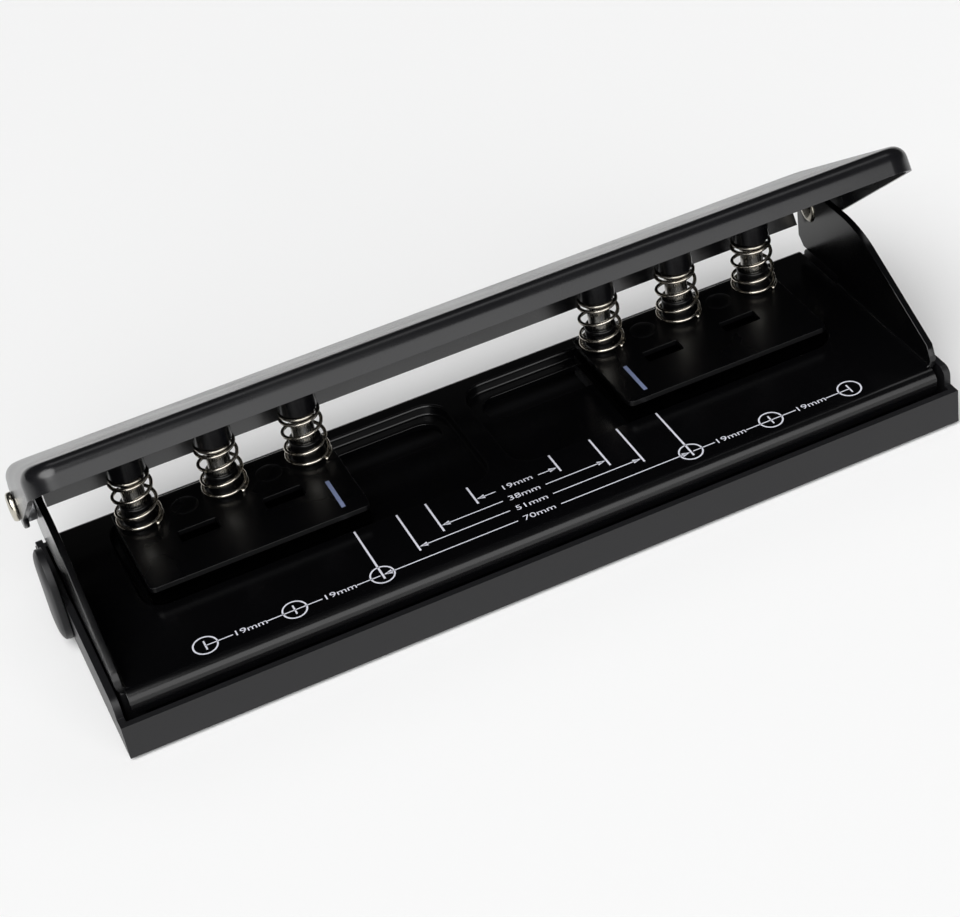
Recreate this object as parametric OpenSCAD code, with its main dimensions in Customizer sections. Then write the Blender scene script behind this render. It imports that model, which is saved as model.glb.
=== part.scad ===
// Six-hole desktop punch with two sliding punch heads.
// X runs along the punch, Y from the front edge to the back, Z up.
// The origin is the middle of the footprint, on the surface that the rubber feet stand on.

/* [Table plate] */
// Length of the flat table between the two side ears
plate_l = 182; // [178:1:230]
// Depth of the table from the front lip to the back flange
plate_d = 58.6; // [57:0.2:72]
// Thickness of the steel sheet that the table is pressed from
sheet_t = 1.5; // [1:0.1:2]
// Outer radius of the front and back bends
bend_r = 2.4; // [2.1:0.1:3]
// Height of the front lip, from the table down
lip_h = 5; // [3.5:0.1:5.5]
// Depth that the two head pockets are pressed down
pocket_dp = 2.5; // [2:0.1:3]
// Distance from the front lip to the front of the pockets
pocket_front = 22.3; // [18:0.1:24]
// Distance from the back flange to the back of the pockets
pocket_back = 5.3; // [5:0.1:8]
// Corner radius of the pockets
pocket_r = 5; // [3:0.5:7]
// Width of the bridge between the two pockets
bridge_w = 5.2; // [4:0.1:8]

/* [Side ears] */
// Height of the hinge axis above the table
hinge_h = 14; // [12:0.5:18]
// Distance that the ear reaches behind the hinge axis
ear_r = 5; // [4.5:0.1:5.1]
// Height of the ear's top above the hinge axis
ear_top = 5.8; // [5.2:0.1:6.4]
// Height of the ear's nose above the table
ear_nose_h = 4.7; // [3.8:0.1:5.4]
// Angle of the ear's sloping front edge
ear_slope = 28.8; // [26:0.2:34]
// Length of the relief slot at the foot of the ear
relief_l = 17; // [12:1:20]
// Height of the relief slot above the table
relief_h = 2.3; // [1.5:0.1:3]

/* [Chip tray] */
// Wall of the moulded chip tray
tray_wall = 1.5; // [1.2:0.1:2]
// Floor of the chip tray
tray_floor = 1.6; // [1.2:0.1:2]
// Height of the table above the underside of the tray
table_h = 12.6; // [12:0.2:18]
// Height of the tray's front and back walls
tray_front_h = 8.2; // [7:0.1:9]
// Gap between the tray's walls and the lip and flange
lip_gap = 1.3; // [1:0.1:2]
// Gap between the tray's side walls and the ears
ear_gap = 0.3; // [0.2:0.05:0.6]
// Radius of the rubber feet
foot_r = 5; // [4:0.5:7]
// Height that the feet stand below the tray
foot_proud = 0.8; // [0.5:0.1:1.5]

/* [Punch heads] */
// Distance between neighbouring holes of one head
pin_pitch = 19; // [18:0.5:20]
// Distance between the two inner holes when the heads are apart
inner_apart = 70; // [66:0.5:72]
// Distance between the two inner holes when the heads are together
inner_close = 19; // [18:0.5:24]
// Diameter of the punched hole
hole_d = 5; // [4:0.1:5.5]
// Distance from the pin row to the back of the pockets
pin_to_back = 7.1; // [6.5:0.1:8]
// Plate that reaches past the outer pins at each end of a head
head_end = 5.2; // [4.8:0.1:6]
// Thickness of the upper bracket
bracket_t = 1.2; // [1:0.1:1.5]
// Height of the mouth that the paper goes into
mouth_h = 2.9; // [2:0.1:3.5]
// Height of the guide collars on the bracket
collar_h = 5; // [3:0.5:6]
// Radius of the guide collars
collar_r = 3.5; // [3.2:0.1:3.7]
// Radius of the die bushes
die_r = 4; // [3.7:0.1:4.2]
// Thickness of the clamp strip under the pocket
strip_t = 2; // [1.5:0.1:2.2]
// Radius of the clamp screws
screw_r = 1.25; // [1:0.05:1.5]

/* [Pins and springs] */
// Radial running clearance of the pins
pin_fit = 0.05; // [0.02:0.01:0.1]
// Free length of the return spring
spring_l = 12.8; // [11.5:0.1:14]
// Radius of the spring at its wire's middle, at the bottom
spring_r0 = 4.8; // [4.5:0.1:5]
// Radius of the spring at its wire's middle, at the top
spring_r1 = 4; // [3.9:0.1:4.3]
// Radius of the spring wire
wire_r = 0.4; // [0.3:0.05:0.45]
// Radius of the cap that the handle presses on
cap_r = 4.1; // [4:0.1:4.3]

/* [Handle] */
// Angle that the raised handle stands at
handle_rest = 33; // [28:1:36]
// Distance from the hinge to the handle's front face
handle_reach = 50; // [46:0.5:60]
// Distance from the hinge to the handle's back face
handle_back = 6.5; // [6:0.1:8]
// Height of the handle's top face above the hinge
handle_top = 8.4; // [8:0.1:10]
// Thickness of the handle's steel sheet
handle_t = 1.2; // [1:0.1:1.5]
// Height of the front wall's lower edge above the hinge
front_edge = 2.8; // [2:0.1:4]
// Distance that the back wall reaches below the hinge
back_edge = 2.9; // [1:0.1:3.4]
// Radius of the long front and back edges
edge_r = 3; // [2:0.1:4]
// Radius of the handle's corners, seen from above
corner_r = 6.5; // [3:0.5:8]
// Gap between the ears and the handle's end flanges
flange_gap = 2.2; // [1.2:0.1:2.6]

/* [Hinge rivets] */
// Radius of the rivet's shank
rivet_r = 2; // [1.6:0.1:2.4]
// Radius of the rivet's head
rivet_head_r = 3.2; // [2.8:0.1:4]
// Radius of the hole through the rivet
rivet_bore_r = 1.2; // [0.8:0.1:1.4]

/* [Paper guide] */
// Width of the sliding rail
rail_w = 6; // [5:0.2:7]
// Thickness of the sliding rail
rail_t = 1.8; // [1.4:0.1:2]
// Length of the rail inside the tray
rail_l = 116; // [100:1:140]
// Sliding clearance round the rail
rail_fit = 0.2; // [0.1:0.05:0.3]
// Width of the upright end stop, from front to back
stop_w = 12; // [10:0.5:14]
// Height of the end stop
stop_h = 21.6; // [18:0.2:22]
// Thickness of the end stop at its rim
stop_t = 1.5; // [1.3:0.1:2]

/* [Hidden] */

// Fine circles for turned and pressed parts.
$fn = 64;
// Extra length that cuts run past a face.
cut = 1;

// Levels, measured up from the surface that the punch stands on.
tray_z = foot_proud;
table_z = tray_z + table_h;
floor_z = tray_z + tray_floor;
pocket_z = table_z - pocket_dp;
pocket_under_z = pocket_z - sheet_t;
hinge_z = table_z + hinge_h;

// Plan of the table and tray.
plate_front_y = -plate_d / 2;
plate_back_y = plate_d / 2;
ear_in_x = plate_l / 2;
ear_out_x = ear_in_x + sheet_t;
tray_l = 2 * (ear_out_x + ear_gap + tray_wall);
tray_d = plate_d + 2 * (lip_gap + tray_wall);
pocket_y0 = plate_front_y + pocket_front;
pocket_y1 = plate_back_y - pocket_back;
pin_y = pocket_y1 - pin_to_back;

// The hinge stands a little behind the pin row, so the handle has a short lever on the pins.
hinge_lever = 6.1;
hinge_y = pin_y + hinge_lever;

// Punch heads: sliding clearances, lengths and places.
slide_fit = 0.05;
strip_fit = 0.1;
slot_fit = 0.25;
end_fit = 1.7;
head_half = pin_pitch + head_end;
head_corner = 1.5;
head_x = inner_apart / 2 + pin_pitch;
pocket_x0 = bridge_w / 2;
pocket_x1 = head_x + head_half + end_fit;
head_y0 = pocket_y0 + 0.7;
head_y1 = pocket_y1 - 1.1;
die_top_z = table_z - 0.1;
die_plate_t = pocket_dp - 0.1 - slide_fit;
bracket_z0 = die_top_z + mouth_h;
bracket_z1 = bracket_z0 + bracket_t;
collar_z = bracket_z1 + collar_h;
slot_r = die_r + slot_fit;
strip_z1 = pocket_under_z - strip_fit;
strip_z0 = strip_z1 - strip_t;
strip_half_d = slot_r + 1.6;
strip_end = 3.2;
die_bore_r = hole_d / 2 + pin_fit;
land_h = 2.1;

// Pins, caps and springs.
pin_r = hole_d / 2;
pin_z0 = bracket_z0 + 0.1;
spring_z1 = bracket_z1 + spring_l;
boss_l = 2;
dome_r = cap_r + 0.1;
cap_gap = 0.5;
press_w = handle_top - handle_t;
// Highest dome that clears the handle's sloping underside, less the gap.
dome_mid_z = hinge_z + (press_w - dome_r + hinge_lever * sin(handle_rest)) / cos(handle_rest);
cap_z1 = dome_mid_z + dome_r - cap_gap;
boss_z0 = spring_z1 - boss_l;
pin_z1 = cap_z1 - 3.4;

// Handle ends and hinge.
flange_in_x = ear_out_x + flange_gap;
flange_out_x = flange_in_x + handle_t;
washer_t = flange_gap - 0.1;
washer_r = rivet_head_r + 0.9;
hinge_fit = 0.05;
lug_r = 5.2;
rivet_head_t = 0.7;
rivet_tail_t = 1.5;

// Ear outline: a straight sloping edge that eases into the top by an arc.
ear_y0 = plate_front_y + 2.8;
ear_top_z = hinge_z + ear_top;
ear_mid_y = hinge_y - (ear_top - ear_r);
arc_r = 26;
nose_rake = 1.2;
arc_steps = 8;
slope_rise = ear_top_z - (table_z + ear_nose_h) - arc_r * (1 - cos(ear_slope));
slope_end_y = ear_y0 + nose_rake + slope_rise / tan(ear_slope);
arc_mid_y = slope_end_y + arc_r * sin(ear_slope);
ear_arc = [for (i = [0 : arc_steps]) let (a = ear_slope * (1 - i / arc_steps))
    [min(arc_mid_y - arc_r * sin(a), ear_mid_y), ear_top_z - arc_r * (1 - cos(a))]];

// Paper guide.
stop_y = pin_y - 7.4;
rail_y0 = stop_y - rail_w / 2;
rail_y1 = stop_y + rail_w / 2;
rail_z0 = floor_z + rail_fit;
stop_gap = 0.2;
stop_in_x = tray_l / 2 + stop_gap;
stop_out_x = stop_in_x + stop_t;
stop_z = tray_z + 1.4 + stop_h / 2;
tenon_l = 1;

// Colours.
gloss_black = "#151517";
satin_black = "#2c2c2f";
steel = "#b9b8b2";
nickel = "#cfccc2";
rubber = "#1a1a1a";

// A block with four round upright edges, given by its lowest and highest corners.
module round_block(low, high, r) {
    union() {
        block([low[0] + r, low[1], low[2]], [high[0] - r, high[1], high[2]]);
        block([low[0], low[1] + r, low[2]], [high[0], high[1] - r, high[2]]);
        for (x = [low[0] + r, high[0] - r], y = [low[1] + r, high[1] - r])
            translate([x, y, low[2]]) cylinder(r = r, h = high[2] - low[2]);
    }
}

// A flat outline in Y and Z, made into a solid between two places on X.
module along_x(x0, x1) {
    translate([x0, 0, 0]) rotate([90, 0, 90]) linear_extrude(height = x1 - x0) children();
}

// A straight round bar along X.
module bar_x(x0, x1, r) {
    translate([x0, 0, 0]) rotate([0, 90, 0]) cylinder(r = r, h = x1 - x0);
}

// A block given by its lowest and highest corners.
module block(low, high) {
    translate(low) cube([high[0] - low[0], high[1] - low[1], high[2] - low[2]]);
}

// Shows its children for the right half of the punch or mirrored for the left half.
module on_side(side) {
    if (side > 0) children();
    else mirror([1, 0, 0]) children();
}

// ---------- Chip tray and feet ----------

module tray_side_outline() {
    front = -tray_d / 2;
    back = tray_d / 2;
    rise = 2.9;
    top = table_z - 0.2;
    low = tray_z + tray_front_h;
    round_r = 2;
    union() {
        translate([front, tray_z]) square([tray_d, low - tray_z]);
        translate([front + rise, tray_z]) square([tray_d - 2 * rise, top - tray_z - round_r]);
        translate([front + rise + round_r, tray_z])
            square([tray_d - 2 * (rise + round_r), top - tray_z]);
        for (y = [front + rise + round_r, back - rise - round_r])
            translate([y, top - round_r]) circle(r = round_r);
    }
}

module chip_tray() {
    half_l = tray_l / 2;
    half_d = tray_d / 2;
    wall_top = tray_z + tray_front_h;
    rib_x1 = ear_out_x - 0.5;
    rib_x0 = max(rib_x1 - 4, pocket_x1 + sheet_t + 0.3);
    middle_rib = 2;
    rib_in = 3.5;
    rail_top = floor_z + rail_t + 2 * rail_fit;
    hook_t = 1.2;
    hook_l = 6;
    color(satin_black) difference() {
        union() {
            // Floor.
            block([-half_l, -half_d, tray_z], [half_l, half_d, floor_z]);
            // Front and back walls.
            block([-half_l, -half_d, tray_z], [half_l, -half_d + tray_wall, wall_top]);
            block([-half_l, half_d - tray_wall, tray_z], [half_l, half_d, wall_top]);
            // Side walls, which rise level with the table.
            for (side = [-1, 1]) on_side(side) along_x(half_l - tray_wall, half_l) tray_side_outline();
            // Ribs that carry the table.
            for (side = [-1, 1], y = [plate_front_y + rib_in, -8, plate_back_y - rib_in - 6])
                on_side(side) block([rib_x0, y, tray_z], [rib_x1, y + 6, table_z - sheet_t]);
            block([-middle_rib, plate_front_y + rib_in, tray_z], [middle_rib, -12, table_z - sheet_t]);
            // Hooks over the guide rail.
            for (x = [-82, -52, -22], back = [0, 1]) translate([x, stop_y, 0]) mirror([0, back, 0]) {
                block([0, rail_w / 2 + rail_fit, tray_z],
                    [hook_l, rail_w / 2 + rail_fit + hook_t, rail_top + hook_t]);
                block([0, rail_w / 2 - hook_t, rail_top],
                    [hook_l, rail_w / 2 + rail_fit + hook_t, rail_top + hook_t]);
            }
        }
        // Window in the left wall for the rail.
        block([-half_l - cut, rail_y0 - rail_fit, floor_z],
            [-half_l + tray_wall + cut, rail_y1 + rail_fit, rail_top]);
        // Recesses for the feet.
        for (x = [-1, 1], y = [-1, 1])
            translate([x * (half_l - 12), y * (half_d - 10), tray_z - cut])
                cylinder(r = foot_r, h = cut + 0.8);
    }
}

module rubber_feet() {
    color(rubber) for (x = [-1, 1], y = [-1, 1])
        translate([x * (tray_l / 2 - 12), y * (tray_d / 2 - 10), 0])
            cylinder(r = foot_r, h = foot_proud + 0.8);
}

// ---------- Table plate with its ears ----------

module bent_edge_outline(depth) {
    inner_r = bend_r - sheet_t;
    translate([-bend_r, -bend_r]) difference() {
        intersection() {
            circle(r = bend_r);
            square(bend_r);
        }
        circle(r = inner_r);
    }
    translate([-sheet_t, -depth]) square([sheet_t, depth - bend_r]);
}

module ear_outline() {
    foot_z = table_z - sheet_t;
    difference() {
        union() {
            polygon(concat([[ear_y0, foot_z], [ear_y0, table_z + ear_nose_h - 2.5 * nose_rake],
                [ear_y0 + nose_rake, table_z + ear_nose_h]], ear_arc,
                [[ear_mid_y, ear_top_z], [ear_mid_y, foot_z]]));
            translate([ear_mid_y, hinge_z]) circle(r = ear_top);
            translate([ear_mid_y - cut, table_z + relief_h])
                square([ear_top + cut, hinge_h - relief_h]);
        }
        // Relief slot at the foot, with a round end.
        translate([hinge_y + ear_r - relief_l, foot_z - cut])
            square([relief_l + cut, sheet_t + relief_h + cut]);
        // Clipped lower back corner.
        translate([hinge_y + ear_r, table_z + relief_h]) rotate(45) square(3, center = true);
        translate([hinge_y, hinge_z]) circle(r = rivet_r);
    }
}

// The hollow of one pocket, from a given level up through the table.
module pocket_space(z0, wall) {
    round_block([pocket_x0 - wall, pocket_y0 - wall, z0],
        [pocket_x1 + wall, pocket_y1 + wall, table_z + (wall > 0 ? 0 : cut)], pocket_r + wall);
}

module pocket_pan(side) {
    slot_x0 = inner_close / 2 - slot_r;
    slot_x1 = head_x + pin_pitch + slot_r;
    on_side(side) difference() {
        pocket_space(pocket_under_z, sheet_t);
        pocket_space(pocket_z, 0);
        // Slot that the die bushes run in.
        round_block([slot_x0, pin_y - slot_r, pocket_under_z - cut],
            [slot_x1, pin_y + slot_r, pocket_z + cut], slot_r - 0.01);
    }
}

module table_plate() {
    flat_y0 = plate_front_y + bend_r;
    flat_y1 = plate_back_y - bend_r;
    color(gloss_black) union() {
        difference() {
            block([-ear_in_x, flat_y0, table_z - sheet_t], [ear_in_x, flat_y1, table_z]);
            for (side = [-1, 1]) on_side(side) pocket_space(pocket_under_z - cut, 0);
        }
        for (side = [-1, 1]) pocket_pan(side);
        // Front lip and back flange.
        translate([0, 0, table_z]) along_x(-ear_in_x, ear_in_x) {
            translate([plate_back_y, 0]) bent_edge_outline(tray_front_h / 2);
            mirror([1, 0]) translate([-plate_front_y, 0]) bent_edge_outline(lip_h);
        }
        // Ears, joined to the table in front of the relief slot.
        for (side = [-1, 1]) on_side(side) along_x(ear_in_x, ear_out_x) ear_outline();
    }
}

// ---------- Hinge ----------

module hinge_rivet(side) {
    head_x0 = ear_in_x - rivet_head_t;
    tail_x0 = flange_out_x + hinge_fit;
    color(nickel) on_side(side) translate([0, hinge_y, hinge_z]) difference() {
        union() {
            bar_x(head_x0, ear_in_x, rivet_head_r);
            bar_x(ear_in_x, tail_x0, rivet_r);
            bar_x(tail_x0, tail_x0 + rivet_tail_t, rivet_head_r);
        }
        bar_x(head_x0 - cut, tail_x0 + rivet_tail_t - 0.5, rivet_bore_r);
    }
}

module hinge_washer(side) {
    x0 = ear_out_x + hinge_fit;
    color(steel) on_side(side) translate([0, hinge_y, hinge_z]) difference() {
        bar_x(x0, x0 + washer_t, washer_r);
        bar_x(x0 - cut, x0 + washer_t + cut, rivet_r);
    }
}

// ---------- Handle ----------

// The handle lies flat here, with the hinge at the origin and the front at negative Y.

// A bar across the handle with its long front and back upper edges rounded.
module edge_rounded(x_half, y0, y1, z0, z1, r) {
    union() {
        block([-x_half, y0, z0], [x_half, y1, z1 - r]);
        block([-x_half, y0 + r, z0], [x_half, y1 - r, z1]);
        for (y = [y0 + r, y1 - r]) translate([0, y, z1 - r]) bar_x(-x_half, x_half, r);
    }
}

// Everything below the handle's lower edges, less the round lugs at the hinge.
module handle_underside() {
    far = 2 * handle_reach;
    joint_y = 0.8 * lug_r;
    joint_z = -0.6 * lug_r;
    difference() {
        along_x(-flange_out_x - cut, flange_out_x + cut) polygon([[-far, -far],
            [-far, front_edge], [-handle_reach, front_edge], [-joint_y, joint_z],
            [joint_y, joint_z], [joint_y, -back_edge], [far, -back_edge], [far, -far]]);
        bar_x(-flange_out_x - 2 * cut, flange_out_x + 2 * cut, lug_r);
    }
}

module handle() {
    front = -handle_reach + handle_t;
    back = handle_back - handle_t;
    low = -lug_r - cut;
    top = handle_top - handle_t;
    notch_gap = 1.2;
    notch_top = washer_r + 0.3;
    color(gloss_black) translate([0, hinge_y, hinge_z]) rotate([-handle_rest, 0, 0]) difference() {
        intersection() {
            edge_rounded(flange_out_x, -handle_reach, handle_back, low, handle_top, edge_r);
            round_block([-flange_out_x, -handle_reach, low - cut],
                [flange_out_x, handle_back, handle_top + cut], corner_r);
        }
        intersection() {
            edge_rounded(flange_in_x, front, back, low - cut, top, edge_r - handle_t);
            round_block([-flange_in_x, front, low - 2 * cut], [flange_in_x, back, top + cut],
                corner_r - handle_t);
        }
        handle_underside();
        for (side = [-1, 1]) on_side(side) {
            bar_x(flange_in_x - cut, flange_out_x + cut, rivet_r + hinge_fit);
            // Notch in the back wall, which lets the ear through.
            block([ear_in_x - notch_gap, 0, low], [flange_in_x, handle_back + cut, notch_top]);
        }
    }
}

// ---------- Punch heads ----------

// Places of the three pins along one head.
function pin_places() = [head_x - pin_pitch, head_x, head_x + pin_pitch];

module guide_bracket(side) {
    tab_w = 8;
    window_w = 8.6;
    window_d = 3.8;
    window_y = pin_y - 10.5;
    dimple_r = 9;
    dimple_h = 0.35;
    color(gloss_black) on_side(side) difference() {
        union() {
            round_block([head_x - head_half, head_y0, bracket_z0],
                [head_x + head_half, head_y1, bracket_z1], head_corner);
            block([head_x - head_half + head_corner, head_y1 - bracket_t, die_top_z],
                [head_x + head_half - head_corner, head_y1, bracket_z1]);
            for (x = pin_places()) translate([x, pin_y, bracket_z0])
                cylinder(r = collar_r, h = collar_z - bracket_z0);
            // Shallow pressed domes between the pins.
            for (x = [-0.5, 0.5]) translate([head_x + x * pin_pitch, pin_y - 1, bracket_z1 - cut / 2])
                intersection() {
                    translate([0, 0, dimple_h + cut / 2 - dimple_r]) sphere(r = dimple_r);
                    cylinder(r = 3, h = 2 * cut);
                }
        }
        for (x = pin_places()) translate([x, pin_y, bracket_z0 - cut])
            cylinder(r = pin_r + pin_fit, h = collar_z - bracket_z0 + 2 * cut);
        for (x = [-0.5, 0.5]) translate([head_x + x * pin_pitch, window_y, bracket_z0 + bracket_t / 2])
            cube([window_w, window_d, 2 * bracket_t], center = true);
    }
}

module die_plate(side) {
    color(steel) on_side(side) difference() {
        round_block([head_x - head_half, head_y0 + 0.2, die_top_z - die_plate_t],
            [head_x + head_half, head_y1, die_top_z], head_corner);
        for (x = pin_places()) translate([x, pin_y, die_top_z - die_plate_t - cut])
            cylinder(r = die_r, h = die_plate_t + 2 * cut);
        for (x = [-0.5, 0.5]) translate([head_x + x * pin_pitch, pin_y, die_top_z - die_plate_t - cut])
            cylinder(r = screw_r, h = die_plate_t + cut - 0.6);
    }
}

module die_bushes(side) {
    color(steel) on_side(side) for (x = pin_places()) translate([x, pin_y, 0]) difference() {
        translate([0, 0, strip_z0]) cylinder(r = die_r, h = die_top_z - strip_z0);
        translate([0, 0, strip_z0 - cut]) cylinder(r = die_bore_r, h = die_top_z - strip_z0 + 2 * cut);
        translate([0, 0, strip_z0 - cut])
            cylinder(r = die_bore_r + 0.5, h = die_top_z - land_h - strip_z0 + cut);
    }
}

module clamp_strip(side) {
    half = pin_pitch + strip_end + die_r / 2;
    color(steel) on_side(side) difference() {
        block([head_x - half, pin_y - strip_half_d, strip_z0],
            [head_x + half, pin_y + strip_half_d, strip_z1]);
        for (x = pin_places()) translate([x, pin_y, strip_z0 - cut])
            cylinder(r = die_r, h = strip_t + 2 * cut);
        for (x = [-0.5, 0.5]) translate([head_x + x * pin_pitch, pin_y, strip_z0]) {
            translate([0, 0, -cut]) cylinder(r = screw_r, h = strip_t + 2 * cut);
            cylinder(r1 = 2 * screw_r, r2 = screw_r, h = screw_r);
        }
    }
}

module clamp_screws(side) {
    shank_z1 = die_top_z - 0.6 - 0.2;
    drive_w = 0.6;
    color(nickel) on_side(side) for (x = [-0.5, 0.5])
        translate([head_x + x * pin_pitch, pin_y, strip_z0]) difference() {
            union() {
                cylinder(r1 = 2 * screw_r, r2 = screw_r, h = screw_r);
                cylinder(r = screw_r, h = shank_z1 - strip_z0);
            }
            for (turn = [0, 90]) rotate([0, 0, turn]) translate([-screw_r * 1.2, -drive_w / 2, -cut])
                cube([screw_r * 2.4, drive_w, cut + 0.7]);
        }
}

// Pin 1 stands at the left end and pin 6 at the right end.
function pin_x(i) = i < 4 ? -(head_x + (2 - i) * pin_pitch) : head_x + (i - 5) * pin_pitch;

module punch_pin(i) {
    notch = 1.1;
    color(steel) translate([pin_x(i), pin_y, 0]) difference() {
        translate([0, 0, pin_z0]) cylinder(r = pin_r, h = pin_z1 - pin_z0);
        // V-shaped cutting end.
        translate([0, 0, pin_z0 - pin_r + notch]) rotate([0, 45, 0])
            cube([pin_r * sqrt(2), 3 * pin_r, pin_r * sqrt(2)], center = true);
    }
}

// A bar that ends in the dome that the handle presses on.
module pin_dome() {
    translate([0, 0, cap_z1 - dome_r]) sphere(r = dome_r);
    translate([0, 0, spring_z1]) cylinder(r = dome_r, h = cap_z1 - dome_r - spring_z1);
}

module pin_cap(i) {
    color(gloss_black) translate([pin_x(i), pin_y, 0]) difference() {
        union() {
            intersection() {
                translate([0, 0, spring_z1]) cylinder(r = cap_r, h = cap_z1 - spring_z1);
                pin_dome();
            }
            translate([0, 0, boss_z0]) cylinder(r = spring_r1 - wire_r - 0.2, h = spring_z1 - boss_z0);
        }
        translate([0, 0, boss_z0 - cut]) cylinder(r = pin_r, h = pin_z1 - boss_z0 + cut);
    }
}

// Spring wire: nearly closed end turns and open middle turns on a slight cone.
turns = 5;
turn_steps = 18;
wire_sides = 6;
end_angle = 30;
closing = 0.8;
function wire_turn(s) = end_angle + 360 * s / turn_steps;
function wire_place(s) = let (t = s / (turns * turn_steps), a = wire_turn(s),
        r = spring_r0 + (spring_r1 - spring_r0) * t,
        h = wire_r + (spring_l - 2 * wire_r) * (t - closing * sin(360 * t) / (2 * PI)))
    [r * sin(a), -r * cos(a), h];
function wire_ring(s) = let (p = wire_place(s), a = wire_turn(s))
    [for (k = [0 : wire_sides - 1]) let (b = 360 * k / wire_sides)
        [p[0] + wire_r * cos(b) * sin(a), p[1] - wire_r * cos(b) * cos(a), p[2] + wire_r * sin(b)]];

module return_spring(i) {
    count = turns * turn_steps;
    points = [for (s = [0 : count]) each wire_ring(s)];
    sides = [for (s = [0 : count - 1], k = [0 : wire_sides - 1]) let (n = (k + 1) % wire_sides,
        a = s * wire_sides, b = a + wire_sides) each [[a + k, a + n, b + n], [a + k, b + n, b + k]]];
    first = [for (k = [wire_sides - 1 : -1 : 0]) k];
    last = [for (k = [0 : wire_sides - 1]) count * wire_sides + k];
    color(nickel) translate([pin_x(i), pin_y, bracket_z1])
        polyhedron(points = points, faces = concat(sides, [first], [last]));
}

// ---------- Paper guide ----------

module guide_rail() {
    color(satin_black) block([-stop_in_x - tenon_l, rail_y0, rail_z0],
        [-tray_l / 2 + rail_l, rail_y1, rail_z0 + rail_t]);
}

// An upright bar with round ends, between two places on X.
module stop_bar(x0, x1) {
    end_r = stop_w / 2;
    end_z = stop_h / 2 - end_r;
    union() {
        block([x0, stop_y - end_r, stop_z - end_z], [x1, stop_y + end_r, stop_z + end_z]);
        for (z = [-end_z, end_z]) translate([0, stop_y, stop_z + z]) bar_x(x0, x1, end_r);
    }
}

module guide_end_stop() {
    bulge = 1;
    ball_r = (stop_h * stop_h / 4 + bulge * bulge) / (2 * bulge);
    color(satin_black) on_side(-1) difference() {
        intersection() {
            stop_bar(stop_in_x, stop_out_x + 2 * bulge);
            // Domed outer face for the fingers.
            union() {
                stop_bar(stop_in_x - cut, stop_out_x);
                translate([stop_out_x + bulge - ball_r, stop_y, stop_z]) sphere(r = ball_r, $fn = 360);
            }
        }
        block([stop_in_x - cut, rail_y0, rail_z0], [stop_in_x + tenon_l, rail_y1, rail_z0 + rail_t]);
    }
}

chip_tray();
rubber_feet();
table_plate();
handle();
hinge_rivet(-1);  // hinge_rivet_left
hinge_rivet(1);  // hinge_rivet_right
hinge_washer(-1);  // hinge_washer_left
hinge_washer(1);  // hinge_washer_right
guide_bracket(-1);  // guide_bracket_left
guide_bracket(1);  // guide_bracket_right
die_plate(-1);  // die_plate_left
die_plate(1);  // die_plate_right
die_bushes(-1);  // die_bushes_left
die_bushes(1);  // die_bushes_right
clamp_strip(-1);  // clamp_strip_left
clamp_strip(1);  // clamp_strip_right
clamp_screws(-1);  // clamp_screws_left
clamp_screws(1);  // clamp_screws_right
punch_pin(1);  // punch_pin_1
punch_pin(2);  // punch_pin_2
punch_pin(3);  // punch_pin_3
punch_pin(4);  // punch_pin_4
punch_pin(5);  // punch_pin_5
punch_pin(6);  // punch_pin_6
pin_cap(1);  // pin_cap_1
pin_cap(2);  // pin_cap_2
pin_cap(3);  // pin_cap_3
pin_cap(4);  // pin_cap_4
pin_cap(5);  // pin_cap_5
pin_cap(6);  // pin_cap_6
return_spring(1);  // return_spring_1
return_spring(2);  // return_spring_2
return_spring(3);  // return_spring_3
return_spring(4);  // return_spring_4
return_spring(5);  // return_spring_5
return_spring(6);  // return_spring_6
guide_rail();
guide_end_stop();
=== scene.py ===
import math
import bmesh
import bpy
from mathutils import Matrix, Vector


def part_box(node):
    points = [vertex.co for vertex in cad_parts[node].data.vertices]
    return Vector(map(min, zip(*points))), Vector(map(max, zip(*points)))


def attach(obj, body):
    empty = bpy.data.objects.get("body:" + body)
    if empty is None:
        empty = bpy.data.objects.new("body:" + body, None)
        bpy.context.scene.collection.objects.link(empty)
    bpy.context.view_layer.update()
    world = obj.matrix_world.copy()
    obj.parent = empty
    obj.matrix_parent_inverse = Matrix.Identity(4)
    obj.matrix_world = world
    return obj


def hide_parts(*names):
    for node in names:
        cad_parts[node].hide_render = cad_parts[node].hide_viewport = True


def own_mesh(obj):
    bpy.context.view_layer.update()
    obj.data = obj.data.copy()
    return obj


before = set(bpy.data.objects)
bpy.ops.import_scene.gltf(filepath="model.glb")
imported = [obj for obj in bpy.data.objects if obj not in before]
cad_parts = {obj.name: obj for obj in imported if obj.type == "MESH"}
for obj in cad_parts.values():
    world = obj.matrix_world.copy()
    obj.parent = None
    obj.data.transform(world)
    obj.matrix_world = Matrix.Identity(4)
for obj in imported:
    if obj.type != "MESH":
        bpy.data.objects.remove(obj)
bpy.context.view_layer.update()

# ---------- Table plate ----------
# The real piece is one blank of 1.5 mm steel sheet. Its two pockets are drawn down for the punch
# heads, its front and back edges are rolled down, and its ends are folded up into the hinge ears.
# It is dipped and stoved in gloss black enamel.

sheet = 1.5
table_z = 13.4
plate_x = 91.0
front_y, back_y = -29.3, 29.3
bend = 2.4
ear_foot_y, relief_y, ear_back_y = -26.5, 11.0, 28.0
relief_z = table_z + 2.3
hinge_y, hinge_z = 23.0, 27.4
pin_row_y = 16.9


def colour(code):
    """Turns an sRGB hex value into the linear colour that a shader takes."""
    parts = [int(code[i:i + 2], 16) / 255 for i in (1, 3, 5)]
    return [p / 12.92 if p <= 0.04045 else ((p + 0.055) / 1.055) ** 2.4 for p in parts] + [1.0]


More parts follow.
